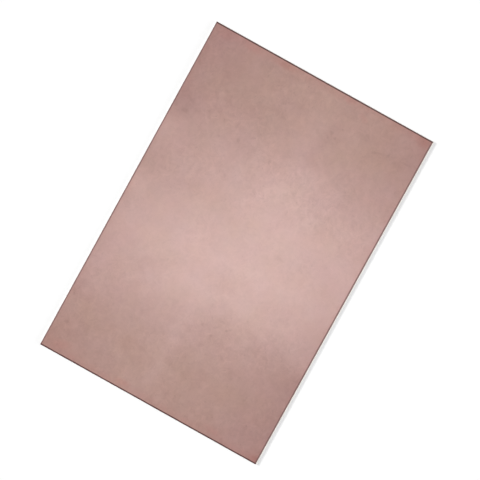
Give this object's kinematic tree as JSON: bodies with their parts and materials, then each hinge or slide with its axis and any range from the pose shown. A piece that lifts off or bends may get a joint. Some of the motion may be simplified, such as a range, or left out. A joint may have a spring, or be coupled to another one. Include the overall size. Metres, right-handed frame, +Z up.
{
  "type": "copper clad board",
  "caption": "Rigid rectangular glass-epoxy laminate sheet with copper foil bonded to its upper face, sheared edges, laid flat.",
  "frame": {"origin": "on the floor under the middle of the board's outline", "axes": "+X along the long side, +Y along the short side towards the trimmed long edge, +Z up out of the copper face"},
  "size_m": [0.15, 0.1, 0.0016],
  "materials": {
    "laminate": "matte",
    "copper": "satin"
  },
  "bodies": {
    "root": {"laminate_sheet": "laminate", "copper_foil": "copper"}
  },
  "joints": []
}
